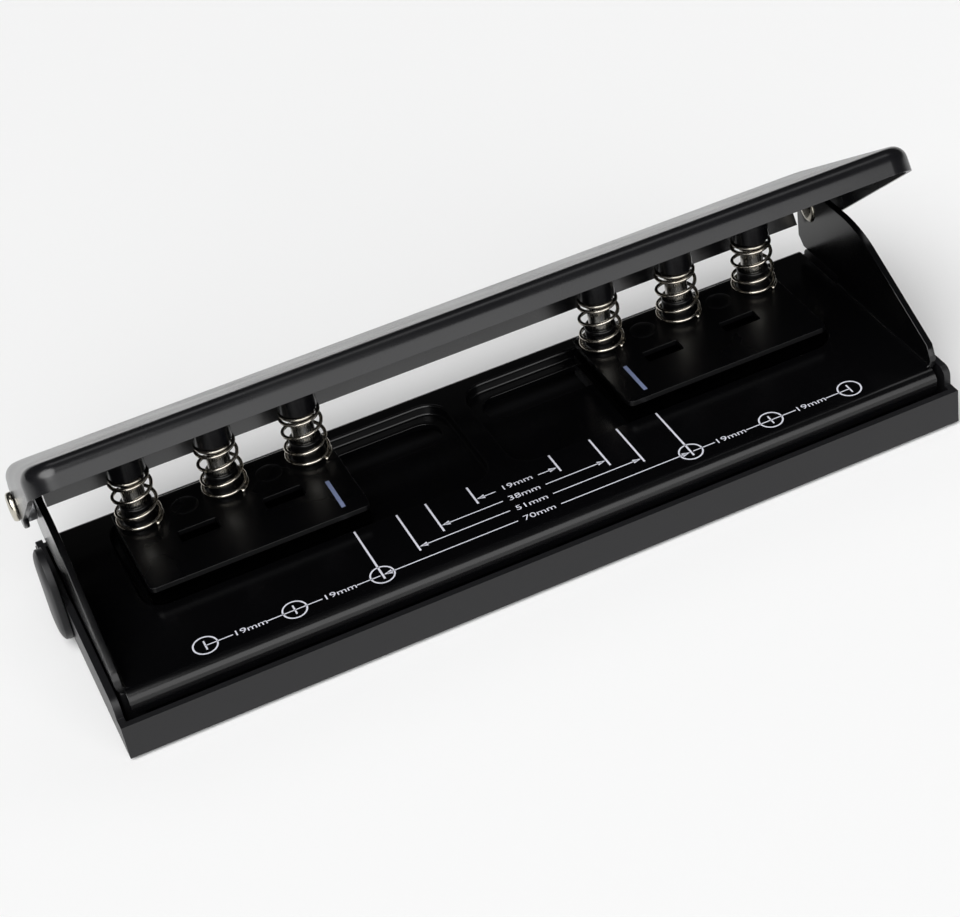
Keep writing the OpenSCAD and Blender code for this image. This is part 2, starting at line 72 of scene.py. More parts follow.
def node(tree, kind, values=None, links=None, **settings):
    """Adds one shader node with its settings, its socket values and its links."""
    made = tree.nodes.new(kind)
    for name, value in settings.items():
        setattr(made, name, value)
    for socket, value in (values or {}).items():
        made.inputs[socket].default_value = value
    for socket, source in (links or {}).items():
        tree.links.new(source, made.inputs[socket])
    return made


def finish_named(name, code, roughness, metallic=0.0, ior=None):
    """Starts a finish: its colour, gloss and metal, and the place on the piece in metres."""
    made = bpy.data.materials.new(name)
    made.use_nodes = True
    surface = made.node_tree.nodes["Principled BSDF"]
    surface.inputs["Base Color"].default_value = colour(code)
    surface.inputs["Roughness"].default_value = roughness
    surface.inputs["Metallic"].default_value = metallic
    if ior:
        surface.inputs["IOR"].default_value = ior
    place = node(made.node_tree, "ShaderNodeTexCoord").outputs["Object"]
    return made, made.node_tree, surface, place


def stoved_enamel(name, code, gloss, peel):
    """Stoved enamel on pressed steel: a deep even black whose surface has the low, broad waves
    of orange peel, about 2.5 mm from crest to crest, with a few duller handled patches."""
    made, tree, surface, place = finish_named(name, code, gloss, ior=1.5)
    patches = node(tree, "ShaderNodeTexNoise", {"Scale": 45.0, "Detail": 3.0}, {"Vector": place})
    dulling = node(tree, "ShaderNodeMapRange", {"From Min": 0.35, "From Max": 0.75,
        "To Min": gloss - 0.03, "To Max": gloss + 0.05}, {"Value": patches.outputs["Fac"]})
    tree.links.new(dulling.outputs["Result"], surface.inputs["Roughness"])
    waves = node(tree, "ShaderNodeTexNoise", {"Scale": 400.0, "Detail": 1.5}, {"Vector": place})
    relief = node(tree, "ShaderNodeBump", {"Strength": peel, "Distance": 0.00003},
        {"Height": waves.outputs["Fac"]})
    tree.links.new(relief.outputs["Normal"], surface.inputs["Normal"])
    return made


def place_piece(name, shape, finish, body, slot, *nodes, wall=0.0, edge=0.0):
    """Makes a piece from a shape drawn in millimetres, with its sheet thickness and broken edges,
    and fixes it to its CAD body."""
    bmesh.ops.scale(shape, vec=(0.001, 0.001, 0.001), verts=shape.verts)
    mesh = bpy.data.meshes.new(name)
    shape.to_mesh(mesh)
    shape.free()
    mesh.shade_smooth()
    piece = bpy.data.objects.new(name, mesh)
    bpy.context.scene.collection.objects.link(piece)
    mesh.materials.append(finish)
    if wall:
        gauge = piece.modifiers.new("sheet gauge", "SOLIDIFY")
        gauge.thickness, gauge.offset, gauge.use_even_offset = wall * 0.001, -1.0, True
    if edge:
        broken = piece.modifiers.new("broken edges", "BEVEL")
        broken.width, broken.segments = edge * 0.001, 2
        broken.limit_method, broken.angle_limit = "ANGLE", math.radians(40)
        broken.harden_normals = True
    flats = piece.modifiers.new("flat faces stay flat", "WEIGHTED_NORMAL")
    flats.keep_sharp = False
    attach(piece, body)
    if nodes:
        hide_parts(*nodes)
    return piece


def ends_of(edges):
    return list({v for e in edges for v in e.verts})


def fold(shape, edges, centre, axis, angle, steps):
    """Rolls a row of edges round a bend line and returns the edges at the far side."""
    turned = bmesh.ops.spin(shape, geom=edges, cent=centre, axis=axis, dvec=(0, 0, 0),
        angle=math.radians(angle), steps=steps, use_duplicate=False)
    return [g for g in turned["geom_last"] if isinstance(g, bmesh.types.BMEdge)]


def draw_out(shape, edges, step):
    """Extends a row of edges by a straight step and returns the new edges."""
    grown = bmesh.ops.extrude_edge_only(shape, edges=edges)["geom"]
    new = [g for g in grown if isinstance(g, bmesh.types.BMEdge) and g not in edges]
    points = [g for g in grown if isinstance(g, bmesh.types.BMVert)]
    bmesh.ops.translate(shape, vec=step, verts=points)
    return [e for e in new if all(v in points for v in e.verts)]


def rounded_opening(shape, x0, x1, y0, y1, z, r, steps=6):
    """A flat face with round corners, from which an opening or a pocket is made."""
    middle = Matrix.Translation(((x0 + x1) / 2, (y0 + y1) / 2, z))
    grid = bmesh.ops.create_grid(shape, x_segments=1, y_segments=1, size=0.5,
        matrix=middle @ Matrix.Diagonal((x1 - x0, y1 - y0, 1, 1)))
    rounded = bmesh.ops.bevel(shape, geom=grid["verts"], offset=r, offset_type="OFFSET",
        affect="VERTICES", segments=steps, profile=0.5, material=-1)
    corners = set(rounded["verts"])
    return [f for f in shape.faces if all(v in corners for v in f.verts)][0]


def trim(shape, faces, point, normal):
    """Cuts off what lies beyond a plane, among some of the faces, and returns those that stay."""
    geom = list({g for f in faces for g in [f, *f.edges, *f.verts]})
    cut = bmesh.ops.bisect_plane(shape, geom=geom, dist=0.0001, plane_co=point, plane_no=normal,
        clear_outer=True, clear_inner=False)
    return [g for g in cut["geom"] if isinstance(g, bmesh.types.BMFace)]


plate = bmesh.new()
blank = [(-plate_x, front_y + bend), (plate_x, front_y + bend), (plate_x, ear_foot_y),
    (plate_x - 1, ear_foot_y), (plate_x - 1, relief_y), (plate_x, relief_y), (plate_x, back_y - bend),
    (-plate_x, back_y - bend), (-plate_x, relief_y), (1 - plate_x, relief_y),
    (1 - plate_x, ear_foot_y), (-plate_x, ear_foot_y)]
corners = [plate.verts.new((x, y, table_z)) for x, y in blank]
outline = [plate.edges.new((a, b)) for a, b in zip(corners, corners[1:] + corners[:1])]
flat_edges = list(outline)
roll, pocket_fillet, pocket_depth = 0.6, 0.5, 2.5
pocket_end_x, pocket_front_y, pocket_back_y, pocket_corner = 79.9, -7.0, 24.0, 5.0
roll_angles = [math.radians(18 * i) for i in range(1, 6)]
fillet_angles = [math.radians(22.5 * i) for i in range(1, 5)]
slot_half = 4.25
for side in (-1, 1):
    x0, x1 = sorted((side * 2.6, side * pocket_end_x))
    mouth_edges = (x0 - roll, x1 + roll, pocket_front_y - roll, pocket_back_y + roll)
    mouth = rounded_opening(plate, *mouth_edges, table_z, pocket_corner + roll)
    flat_edges += list(mouth.edges)
    bmesh.ops.delete(plate, geom=[mouth], context="FACES_ONLY")
    below = rounded_opening(plate, *mouth_edges, table_z, pocket_corner + roll)
    inset_done = drop_done = 0.0
    steps = [(roll * math.sin(a), roll * (1 - math.cos(a))) for a in roll_angles]
    steps += [(roll + 0.001, pocket_depth - pocket_fillet)]
    steps += [(roll + pocket_fillet * (1 - math.cos(a)), pocket_depth - pocket_fillet * (1 - math.sin(a)))
        for a in fillet_angles]
    for inset, drop in steps:
        bmesh.ops.inset_region(plate, faces=[below], thickness=inset - inset_done, depth=0,
            use_boundary=True, use_even_offset=True)
        bmesh.ops.translate(plate, vec=(0, 0, drop_done - drop), verts=below.verts)
        inset_done, drop_done = inset, drop
    rim = list(below.edges)
    bmesh.ops.delete(plate, geom=[below], context="FACES_ONLY")
    # Slot in the pocket floor that the die bushes run along.
    s0, s1 = sorted((side * (9.5 - slot_half), side * (73 + slot_half)))
    slot_face = rounded_opening(plate, s0, s1, pin_row_y - slot_half, pin_row_y + slot_half,
        table_z - pocket_depth, slot_half - 0.01, 8)
    rim += list(slot_face.edges)
    bmesh.ops.delete(plate, geom=[slot_face], context="FACES_ONLY")
    bmesh.ops.triangle_fill(plate, use_beauty=True, use_dissolve=False, edges=rim, normal=(0, 0, 1))
bmesh.ops.triangle_fill(plate, use_beauty=True, use_dissolve=False, edges=flat_edges, normal=(0, 0, 1))
bmesh.ops.remove_doubles(plate, verts=plate.verts, dist=0.0005)

lip_depth, flange_depth = 5.0, 4.1


def open_edges_at(shape, y):
    """The open edges that lie along one line of Y."""
    return [e for e in shape.edges if e.is_boundary and all(abs(v.co.y - y) < 0.01 for v in e.verts)]


front_fold = open_edges_at(plate, front_y + bend)
back_fold = open_edges_at(plate, back_y - bend)
lip = fold(plate, front_fold, (0, front_y + bend, table_z - bend), (1, 0, 0), 90, 16)
lip = draw_out(plate, lip, (0, 0, bend - lip_depth))
flange = fold(plate, back_fold, (0, back_y - bend, table_z - bend), (1, 0, 0), -90, 16)
draw_out(plate, flange, (0, 0, bend - flange_depth))
lip_corners = [v for v in ends_of(lip) if abs(v.co.x) > plate_x - 0.1]
bmesh.ops.bevel(plate, geom=lip_corners, offset=1.6, offset_type="OFFSET", affect="VERTICES",
    segments=4, profile=0.5, material=-1)

ear_top_z = hinge_z + 5.8
slope, arc = math.radians(28.8), 26.0
slope_end_y = -25.3 + (ear_top_z - (table_z + 4.7) - arc * (1 - math.cos(slope))) / math.tan(slope)
arc_y = slope_end_y + arc * math.sin(slope)
for side in (-1, 1):
    foot = [e for e in plate.edges if e.is_boundary and abs(e.verts[0].co.y - e.verts[1].co.y) > 1
        and all(abs(v.co.x - side * (plate_x - 1)) < 0.01
            and ear_foot_y - 0.01 < v.co.y < relief_y + 0.01 for v in e.verts)]
    knee = fold(plate, foot, (side * (plate_x - 1), 0, table_z + 1), (0, 1, 0), -90 * side, 5)
    low = draw_out(plate, knee, (0, 0, relief_z - table_z - 1))
    high = draw_out(plate, low, (0, 0, 20))
    upper = [f for e in high for f in e.link_faces]
    back = [e for f in upper for e in f.edges if all(abs(v.co.y - relief_y) < 0.01 for v in e.verts)]
    rear = draw_out(plate, back, (0, ear_back_y - relief_y, 0))
    upper += [f for e in rear for f in e.link_faces]
    upper += [f for e in low for f in e.link_faces]
    faces = list(set(upper))
    x = side * plate_x
    # The outline: a raked nose, a straight slope that eases into the top, and a round back.
    faces = trim(plate, faces, (x, ear_foot_y, table_z + 1.7), (0, -3.0, 1.2))
    faces = trim(plate, faces, (x, -25.3, table_z + 4.7), (0, -math.sin(slope), math.cos(slope)))
    for i in range(1, 9):
        a = slope * (1 - i / 8)
        faces = trim(plate, faces, (x, arc_y - arc * math.sin(a), ear_top_z - arc * (1 - math.cos(a))),
            (0, -math.sin(a), math.cos(a)))
    for i in range(1, 13):
        a = math.radians(90 * i / 12 - 3.75)
        faces = trim(plate, faces, (x, 22.2 + 5.8 * math.sin(a), hinge_z + 5.8 * math.cos(a)),
            (0, math.sin(a), math.cos(a)))
    faces = trim(plate, faces, (x, ear_back_y - 2.1, relief_z), (0, 1, -1))
bmesh.ops.remove_doubles(plate, verts=plate.verts, dist=0.0005)
gloss_enamel = stoved_enamel("gloss_black_stoved_enamel", "#050506", 0.2, 0.25)
place_piece("table_sheet", plate, gloss_enamel, "base", "black_steel", "table_plate",
    wall=sheet, edge=0.28)

# ---------- Print on the table ----------
# White screen-printed ink, a thin flat film with a dull surface. Circles mark the six holes, and
# arrows mark four distances between the two inner ones.

ink_z = table_z + 0.02


def screen_ink(name, code):
    """Screen ink: an opaque film with soft pinholes, so its white is a little uneven."""
    made, tree, surface, place = finish_named(name, code, 0.55, ior=1.45)
    mesh_marks = node(tree, "ShaderNodeTexNoise", {"Scale": 2500.0, "Detail": 2.0}, {"Vector": place})
    thin = node(tree, "ShaderNodeMapRange", {"From Min": 0.3, "From Max": 0.7, "To Min": 0.8,
        "To Max": 1.0}, {"Value": mesh_marks.outputs["Fac"]})
    cover = node(tree, "ShaderNodeMix", {6: [0.02, 0.02, 0.025, 1], 7: colour(code)},
        {0: thin.outputs["Result"]}, data_type="RGBA")
    tree.links.new(cover.outputs[2], surface.inputs["Base Color"])
    return made


def ink_bar(shape, start, end, width, z):
    """A straight printed line."""
    (x0, y0), (x1, y1) = start, end
    bmesh.ops.create_grid(shape, x_segments=1, y_segments=1, size=0.5,
        matrix=Matrix.Translation(((x0 + x1) / 2, (y0 + y1) / 2, z))
        @ Matrix.Rotation(math.atan2(y1 - y0, x1 - x0), 4, "Z")
        @ Matrix.Diagonal((math.hypot(x1 - x0, y1 - y0), width, 1, 1)))


def ink_label(shape, words, x, y, height, z):
    """A printed label, centred on a point."""
    text = bpy.data.curves.new(words, "FONT")
    text.body, text.size, text.align_x, text.align_y = words, 1.0, "CENTER", "CENTER"
    holder = bpy.data.objects.new(words, text)
    bpy.context.scene.collection.objects.link(holder)
    bpy.context.view_layer.update()
    letters = bpy.data.meshes.new_from_object(holder)
    bpy.data.objects.remove(holder)
    before = set(shape.verts)
    shape.from_mesh(letters)
    bpy.data.meshes.remove(letters)
    new = [v for v in shape.verts if v not in before]
    at_size = Matrix.Translation((x, y, z)) @ Matrix.Diagonal((height * 1.35, height, 1, 1))
    bmesh.ops.transform(shape, verts=new, matrix=at_size)


ink = bmesh.new()
mark_y, letter_h = -23.5, 2.15
for side in (-1, 1):
    for hole in (35, 54, 73):
        ring = bmesh.ops.create_circle(ink, cap_ends=True, segments=48, radius=2.68,
            matrix=Matrix.Translation((side * hole, mark_y, ink_z)))
        disc = [f for f in ink.faces if all(v in ring["verts"] for v in f.verts)]
        bmesh.ops.inset_region(ink, faces=disc, thickness=0.34, depth=0, use_boundary=True,
            use_even_offset=True)
        bmesh.ops.delete(ink, geom=disc, context="FACES")
    for hole in (54, 73):
        ink_bar(ink, (side * hole, mark_y - 1.4), (side * hole, mark_y + 1.4), 0.34, ink_z)
    for a, b in ((73, 67.2), (59.9, 48.1), (40.6, 35.5)):
        ink_bar(ink, (side * a, mark_y - 0.1), (side * b, mark_y - 0.1), 0.26, ink_z)
    for x in (63.5, 44.3):
        ink_label(ink, "19mm", side * x, mark_y - 0.1, letter_h, ink_z)
    for x, low_y, line_y in ((9.5, -13.93, -12.4), (19.0, -18.0, -16.1), (25.5, -20.95, -19.7),
            (35.0, -24.9, -23.6)):
        ink_bar(ink, (side * x, low_y), (side * x, -7.75), 0.42, ink_z)
        ink_bar(ink, (side * 4.9, line_y), (side * (x - 1.0), line_y), 0.26, ink_z)
        tip = Matrix.Translation((side * (x - 1.45), line_y, ink_z))
        bmesh.ops.create_circle(ink, cap_ends=True, segments=3, radius=1.2,
            matrix=tip @ Matrix.Diagonal((side, 0.62, 1, 1)) @ Matrix.Rotation(math.radians(-90), 4, "Z"))
for words, y in (("19mm", -12.2), ("38mm", -16.1), ("51mm", -19.8), ("70mm", -23.6)):
    ink_label(ink, words, 0, y, letter_h, ink_z)
ink.normal_update()
for f in ink.faces:
    if f.normal.z < 0:
        f.normal_flip()
white_ink = screen_ink("white_screen_ink", "#dfe0ea")
place_piece("table_print", ink, white_ink, "base", "black_steel")

# ---------- Chip tray ----------
# The real piece is a shallow tray moulded in satin black ABS that clips under the table and
# catches the chips. Its end walls rise level with the table, and its left wall has a window
# for the paper guide.

tray = bmesh.new()
tray_x, tray_y, tray_low, tray_rim, tray_end_top = 94.3, 32.1, 0.8, 9.0, 13.2
bmesh.ops.create_cube(tray, size=1.0, matrix=Matrix.Translation((0, 0, (tray_low + tray_end_top) / 2))
    @ Matrix.Diagonal((2 * tray_x, 2 * tray_y, tray_end_top - tray_low, 1)))
lid = [f for f in tray.faces if f.normal.z > 0.9]
bmesh.ops.delete(tray, geom=lid, context="FACES_ONLY")


def score(shape, point, normal):
    """Cuts a line across a whole shape and keeps both sides."""
    bmesh.ops.bisect_plane(shape, geom=[*shape.faces, *shape.edges, *shape.verts], dist=0.0001,
        plane_co=point, plane_no=normal)


score(tray, (0, 0, tray_rim), (0, 0, 1))
for y in (-29.2, 29.2, 6.3, 12.7):
    score(tray, (0, y, 0), (0, 1, 0))
for z in (2.4, 4.8):
    score(tray, (0, 0, z), (0, 0, 1))
above = [f for f in tray.faces if f.calc_center_median().z > tray_rim
    and abs(f.calc_center_median().y) > 29.2]
window = [f for f in tray.faces if f.calc_center_median().x < -94
    and 6.3 < f.calc_center_median().y < 12.7 and 2.4 < f.calc_center_median().z < 4.8]
bmesh.ops.delete(tray, geom=above + window, context="FACES")
shoulders = [v for v in tray.verts if abs(v.co.z - tray_end_top) < 0.01
    and abs(abs(v.co.y) - 29.2) < 0.01]
bmesh.ops.bevel(tray, geom=shoulders, offset=2.0, offset_type="OFFSET", affect="VERTICES", segments=5,
    profile=0.5, material=-1)
bmesh.ops.recalc_face_normals(tray, faces=tray.faces)
if [f for f in tray.faces if f.calc_center_median().z < tray_low + 0.1][0].normal.z > 0:
    bmesh.ops.reverse_faces(tray, faces=tray.faces)


def moulded_abs(name, code, roughness):
    """Moulded ABS: a fine spark-eroded grain, about 0.6 mm, that softens every reflection."""
    made, tree, surface, place = finish_named(name, code, roughness, ior=1.45)
    grain = node(tree, "ShaderNodeTexNoise", {"Scale": 1600.0, "Detail": 2.0}, {"Vector": place})
    relief = node(tree, "ShaderNodeBump", {"Strength": 0.12, "Distance": 0.00005},
        {"Height": grain.outputs["Fac"]})
    tree.links.new(relief.outputs["Normal"], surface.inputs["Normal"])
    flow = node(tree, "ShaderNodeTexNoise", {"Scale": 60.0, "Detail": 2.0}, {"Vector": place})
    uneven = node(tree, "ShaderNodeMapRange", {"To Min": roughness - 0.04, "To Max": roughness + 0.05},
        {"Value": flow.outputs["Fac"]})
    tree.links.new(uneven.outputs["Result"], surface.inputs["Roughness"])
    return made


satin_abs = moulded_abs("satin_moulded_abs", "#111113", 0.42)
place_piece("tray_shell", tray, satin_abs, "base", "tray", "chip_tray", wall=1.5, edge=0.3)

# Moulded ribs that carry the table, and hooks over the guide rail, all part of the same tray.
ribs = bmesh.new()


def moulded_block(shape, low, high, edge):
    """A block with rounded edges, given by its lowest and highest corners."""
    size = [b - a for a, b in zip(low, high)]
    middle = [(a + b) / 2 for a, b in zip(low, high)]
    made = bmesh.ops.create_cube(shape, size=1.0,
        matrix=Matrix.Translation(middle) @ Matrix.Diagonal((*size, 1)))
    edges = list({e for v in made["verts"] for e in v.link_edges})
    bmesh.ops.bevel(shape, geom=edges, offset=edge, offset_type="OFFSET", affect="EDGES",
        segments=2, profile=0.5, material=-1)


tray_floor_z, rib_top_z = 2.3, 11.85
for side in (-1, 1):
    for y in (-25.8, -8.0, 19.8):
        moulded_block(ribs, (side * 90 - 2, y, tray_floor_z), (side * 90 + 2, y + 6, rib_top_z), 0.4)
moulded_block(ribs, (-2, -25.8, tray_floor_z), (2, -12, rib_top_z), 0.4)
guide_y = 9.5
for x in (-82, -52, -22):
    for turn in (-1, 1):
        y0, y1 = sorted((guide_y + turn * 3.22, guide_y + turn * 4.4))
        moulded_block(ribs, (x, y0, tray_floor_z), (x + 6, y1, 5.9), 0.25)
        y0, y1 = sorted((guide_y + turn * 1.8, guide_y + turn * 4.4))
        moulded_block(ribs, (x, y0, 4.82), (x + 6, y1, 6.0), 0.25)
place_piece("tray_ribs", ribs, satin_abs, "base", "tray")

# ---------- Rubber feet ----------
# Four round pads punched from black rubber sheet and stuck into recesses under the tray.


def turned(shape, outline, centre, axis="Z", steps=48):
    """Turns an outline of (radius, height) points into a round part about an axis."""
    matrix = Matrix.Translation(centre)
    if axis == "X":
        matrix = matrix @ Matrix.Rotation(math.radians(90), 4, "Y")
    points = [shape.verts.new(matrix @ Vector((r, 0, h))) for r, h in outline]
    lines = [shape.edges.new(pair) for pair in zip(points, points[1:])]
    bmesh.ops.spin(shape, geom=points + lines, cent=centre, axis=matrix.to_3x3() @ Vector((0, 0, 1)),
        dvec=(0, 0, 0), angle=math.radians(360), steps=steps, use_merge=True, use_duplicate=False)
    bmesh.ops.remove_doubles(shape, verts=shape.verts, dist=0.001)


feet = bmesh.new()
for x in (-82.3, 82.3):
    for y in (-22.1, 22.1):
        foot_outline = [(0, 0), (4.5, 0), (4.85, 0.12), (5.0, 0.4), (5.0, 1.55), (0, 1.55)]
        turned(feet, foot_outline, (x, y, 0))
bmesh.ops.recalc_face_normals(feet, faces=feet.faces)
rubber, tree, surface, place = finish_named("black_sheet_rubber", "#161616", 0.8, ior=1.5)
# Sheet rubber: matt and faintly pitted, about 0.5 mm between pits.
pits = node(tree, "ShaderNodeTexNoise", {"Scale": 2000.0, "Detail": 3.0}, {"Vector": place})
relief = node(tree, "ShaderNodeBump", {"Strength": 0.4, "Distance": 0.0001},
    {"Height": pits.outputs["Fac"]})
tree.links.new(relief.outputs["Normal"], surface.inputs["Normal"])
place_piece("tray_feet", feet, rubber, "base", "feet", "rubber_feet")

# ---------- Punch heads ----------
# Each head is a pressed bracket over a die plate. The bracket is 1.2 mm steel in the same black
# enamel, with two windows, three guide collars for the pins and a back edge folded down.

head_top_z = 17.4
head_low_y, head_high_y = -6.3, 22.9
end_relief = 1.5
hole_places, screw_places = (35, 54, 73), (44.5, 63.5)
pointer_ink = screen_ink("blue_grey_screen_ink", "#8793b8")
head_enamel = stoved_enamel("gloss_black_head_enamel", "#040405", 0.28, 0.3)
for side, name in ((-1, "left"), (1, "right")):
    body = name + "_head"
    bracket = bmesh.new()
    x0, x1 = sorted((side * 54 - 24.2, side * 54 + 24.2))
    fold_y, fold_r = head_high_y - 1.6, 1.6
    points = [(x0, head_low_y), (x1, head_low_y), (x1, fold_y), (x1 - end_relief, fold_y),
        (x0 + end_relief, fold_y), (x0, fold_y)]
    points = [bracket.verts.new((x, y, head_top_z)) for x, y in points]
    bracket.faces.new(points)
    bmesh.ops.bevel(bracket, geom=points[:2], offset=1.5, offset_type="OFFSET", affect="VERTICES",
        segments=5, profile=0.5, material=-1)
    rim = list(bracket.edges)
    bmesh.ops.delete(bracket, geom=list(bracket.faces), context="FACES_ONLY")
    for x in [side * place_on for place_on in screw_places]:
        hole = rounded_opening(bracket, x - 4.3, x + 4.3, 4.5, 8.3, head_top_z, 0.4, 3)
        rim += list(hole.edges)
        bmesh.ops.delete(bracket, geom=[hole], context="FACES_ONLY")
    # Holes under the collars, a little wider than the collars' bore, for the pins to pass through.
    for x in [side * place_on for place_on in hole_places]:
        hole = bmesh.ops.create_circle(bracket, cap_ends=False, segments=48, radius=3.0,
            matrix=Matrix.Translation((x, pin_row_y, head_top_z)))
        rim += list({e for v in hole["verts"] for e in v.link_edges})
    bmesh.ops.triangle_fill(bracket, use_beauty=True, use_dissolve=False, edges=rim, normal=(0, 0, 1))
    back = [e for e in bracket.edges if all(abs(v.co.y - fold_y) < 0.01
        and x0 + end_relief - 0.1 < v.co.x < x1 - end_relief + 0.1 for v in e.verts)]
    knee = fold(bracket, back, (0, fold_y, head_top_z - fold_r), (1, 0, 0), -90, 6)
    draw_out(bracket, knee, (0, 0, -(head_top_z - fold_r - 13.35)))
    place_piece(name + "_bracket_sheet", bracket, head_enamel, body, "head_steel",
        "guide_bracket_" + name, wall=1.2, edge=0.15)
    # Guide collars, swaged up from the bracket, and the low heads of the two clamp screws.
    collars = bmesh.new()
    for x in [side * place_on for place_on in hole_places]:
        turned(collars, [(4.2, 17.38), (3.85, 17.5), (3.55, 17.85), (3.5, 18.3), (3.5, 22.1),
            (3.4, 22.32), (3.2, 22.4), (2.75, 22.4), (2.56, 22.2), (2.56, 16.3)], (x, pin_row_y, 0))
    for x in [side * place_on for place_on in screw_places]:
        turned(collars, [(3.0, 17.38), (2.9, 17.46), (2.6, 17.55), (2.0, 17.65), (1.0, 17.73),
            (0, 17.75)], (x, pin_row_y - 1, 0))
    bmesh.ops.recalc_face_normals(collars, faces=collars.faces)
    place_piece(name + "_bracket_collars", collars, head_enamel, body, "head_steel")
    # Printed pointer that is set against the scale on the table.
    pointer = bmesh.new()
    ink_bar(pointer, (side * 35, -3.9), (side * 35, 6.1), 0.9, head_top_z + 0.02)
    place_piece(name + "_pointer", pointer, pointer_ink, body, "head_steel")

# The die plate, the die bushes, the clamp strip and its screws keep their CAD shape.


def ground_steel(name, code, roughness, stretch):
    """Ground steel: fine parallel scratches, drawn 0.17 mm apart so that they can be seen."""
    made, tree, surface, place = finish_named(name, code, roughness, metallic=1.0)
    along = node(tree, "ShaderNodeMapping", {"Scale": stretch}, {"Vector": place})
    scratches = node(tree, "ShaderNodeTexNoise", {"Scale": 6000.0, "Detail": 2.0},
        {"Vector": along.outputs["Vector"]})
    uneven = node(tree, "ShaderNodeMapRange", {"From Min": 0.3, "From Max": 0.7,
        "To Min": roughness - 0.07, "To Max": roughness + 0.1}, {"Value": scratches.outputs["Fac"]})
    tree.links.new(uneven.outputs["Result"], surface.inputs["Roughness"])
    relief = node(tree, "ShaderNodeBump", {"Strength": 0.15, "Distance": 0.00002},
        {"Height": scratches.outputs["Fac"]})
    tree.links.new(relief.outputs["Normal"], surface.inputs["Normal"])
    return made


zinc_steel = ground_steel("zinc_plated_steel", "#b3b4b6", 0.32, (0.05, 1.0, 1.0))
black_oxide = ground_steel("black_oxide_steel", "#141416", 0.35, (0.05, 1.0, 1.0))
die_steel = ground_steel("hardened_die_steel", "#a3a29e", 0.25, (1.0, 1.0, 0.05))
for name in ("left", "right"):
    for part, finish in (("die_plate_", black_oxide), ("die_bushes_", die_steel),
            ("clamp_strip_", zinc_steel), ("clamp_screws_", zinc_steel)):
        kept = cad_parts[part + name]
        for held in kept.material_slots:
            held.material = finish

# ---------- Punch pins ----------
# Six pins turned from hardened tool steel and ground bright, with a V-shaped cutting end. They keep
# their CAD shape. Each is pressed into a black acetal cap that the handle pushes on.

tool_steel = ground_steel("ground_tool_steel", "#b8b6b0", 0.24, (1.0, 1.0, 0.08))
acetal, tree, surface, place = finish_named("black_turned_acetal", "#0b0b0d", 0.22, ior=1.48)
# Turned acetal: faint rings from the tool, about 1 mm apart, under a natural waxy gloss.
rings = node(tree, "ShaderNodeTexWave", {"Scale": 320.0, "Distortion": 0.3}, {"Vector": place},
    wave_type="BANDS", bands_direction="Z")
relief = node(tree, "ShaderNodeBump", {"Strength": 0.1, "Distance": 0.00003},
    {"Height": rings.outputs["Fac"]})
tree.links.new(relief.outputs["Normal"], surface.inputs["Normal"])
pin_x = (-73, -54, -35, 35, 54, 73)
crown_angles = [math.radians(75 - 7.5 * i) for i in range(11)]
crown_r = 4.2
spring_low_z, spring_top_z = 17.4, 30.2
for number, x in enumerate(pin_x, 1):
    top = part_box(f"pin_cap_{number}")[1].z * 1000
    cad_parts[f"punch_pin_{number}"].material_slots[0].material = tool_steel
    cap = bmesh.new()
    dome = [(min(crown_r * math.sin(a), 4.08), top - crown_r + crown_r * math.cos(a)) for a in crown_angles]
    skirt = [(2.52, 30.0), (3.1, 28.3), (3.35, 28.5), (3.4, 28.8), (3.4, 30.2), (3.8, 30.2), (4.02, 30.28),
        (4.1, 30.5), (4.1, top - 3.6)]
    turned(cap, skirt + dome, (x, pin_row_y, 0))
    bmesh.ops.recalc_face_normals(cap, faces=cap.faces)
    place_piece(f"pin_{number}_cap", cap, acetal, f"pin_{number}", "cap", f"pin_cap_{number}")

# ---------- Return springs ----------
# Each spring is wound from 0.8 mm nickel-plated music wire, five turns on a slight taper, with
# its two end turns nearly closed. It stands round the collar and lifts the cap.

nickel_wire, tree, surface, place = finish_named("nickel_plated_wire", "#cfc6b6", 0.16, metallic=1.0)
# Drawn and plated wire: bright, with faint die lines and a slightly warm tone in patches.
tone = node(tree, "ShaderNodeTexNoise", {"Scale": 300.0, "Detail": 2.0}, {"Vector": place})
warmth = node(tree, "ShaderNodeMix", {6: colour("#d6d2ca"), 7: colour("#b9b0a0")}, {0: tone.outputs["Fac"]},
    data_type="RGBA")
tree.links.new(warmth.outputs[2], surface.inputs["Base Color"])
lines = node(tree, "ShaderNodeTexNoise", {"Scale": 3000.0, "Detail": 1.0}, {"Vector": place})
uneven = node(tree, "ShaderNodeMapRange", {"To Min": 0.1, "To Max": 0.26}, {"Value": lines.outputs["Fac"]})
tree.links.new(uneven.outputs["Result"], surface.inputs["Roughness"])

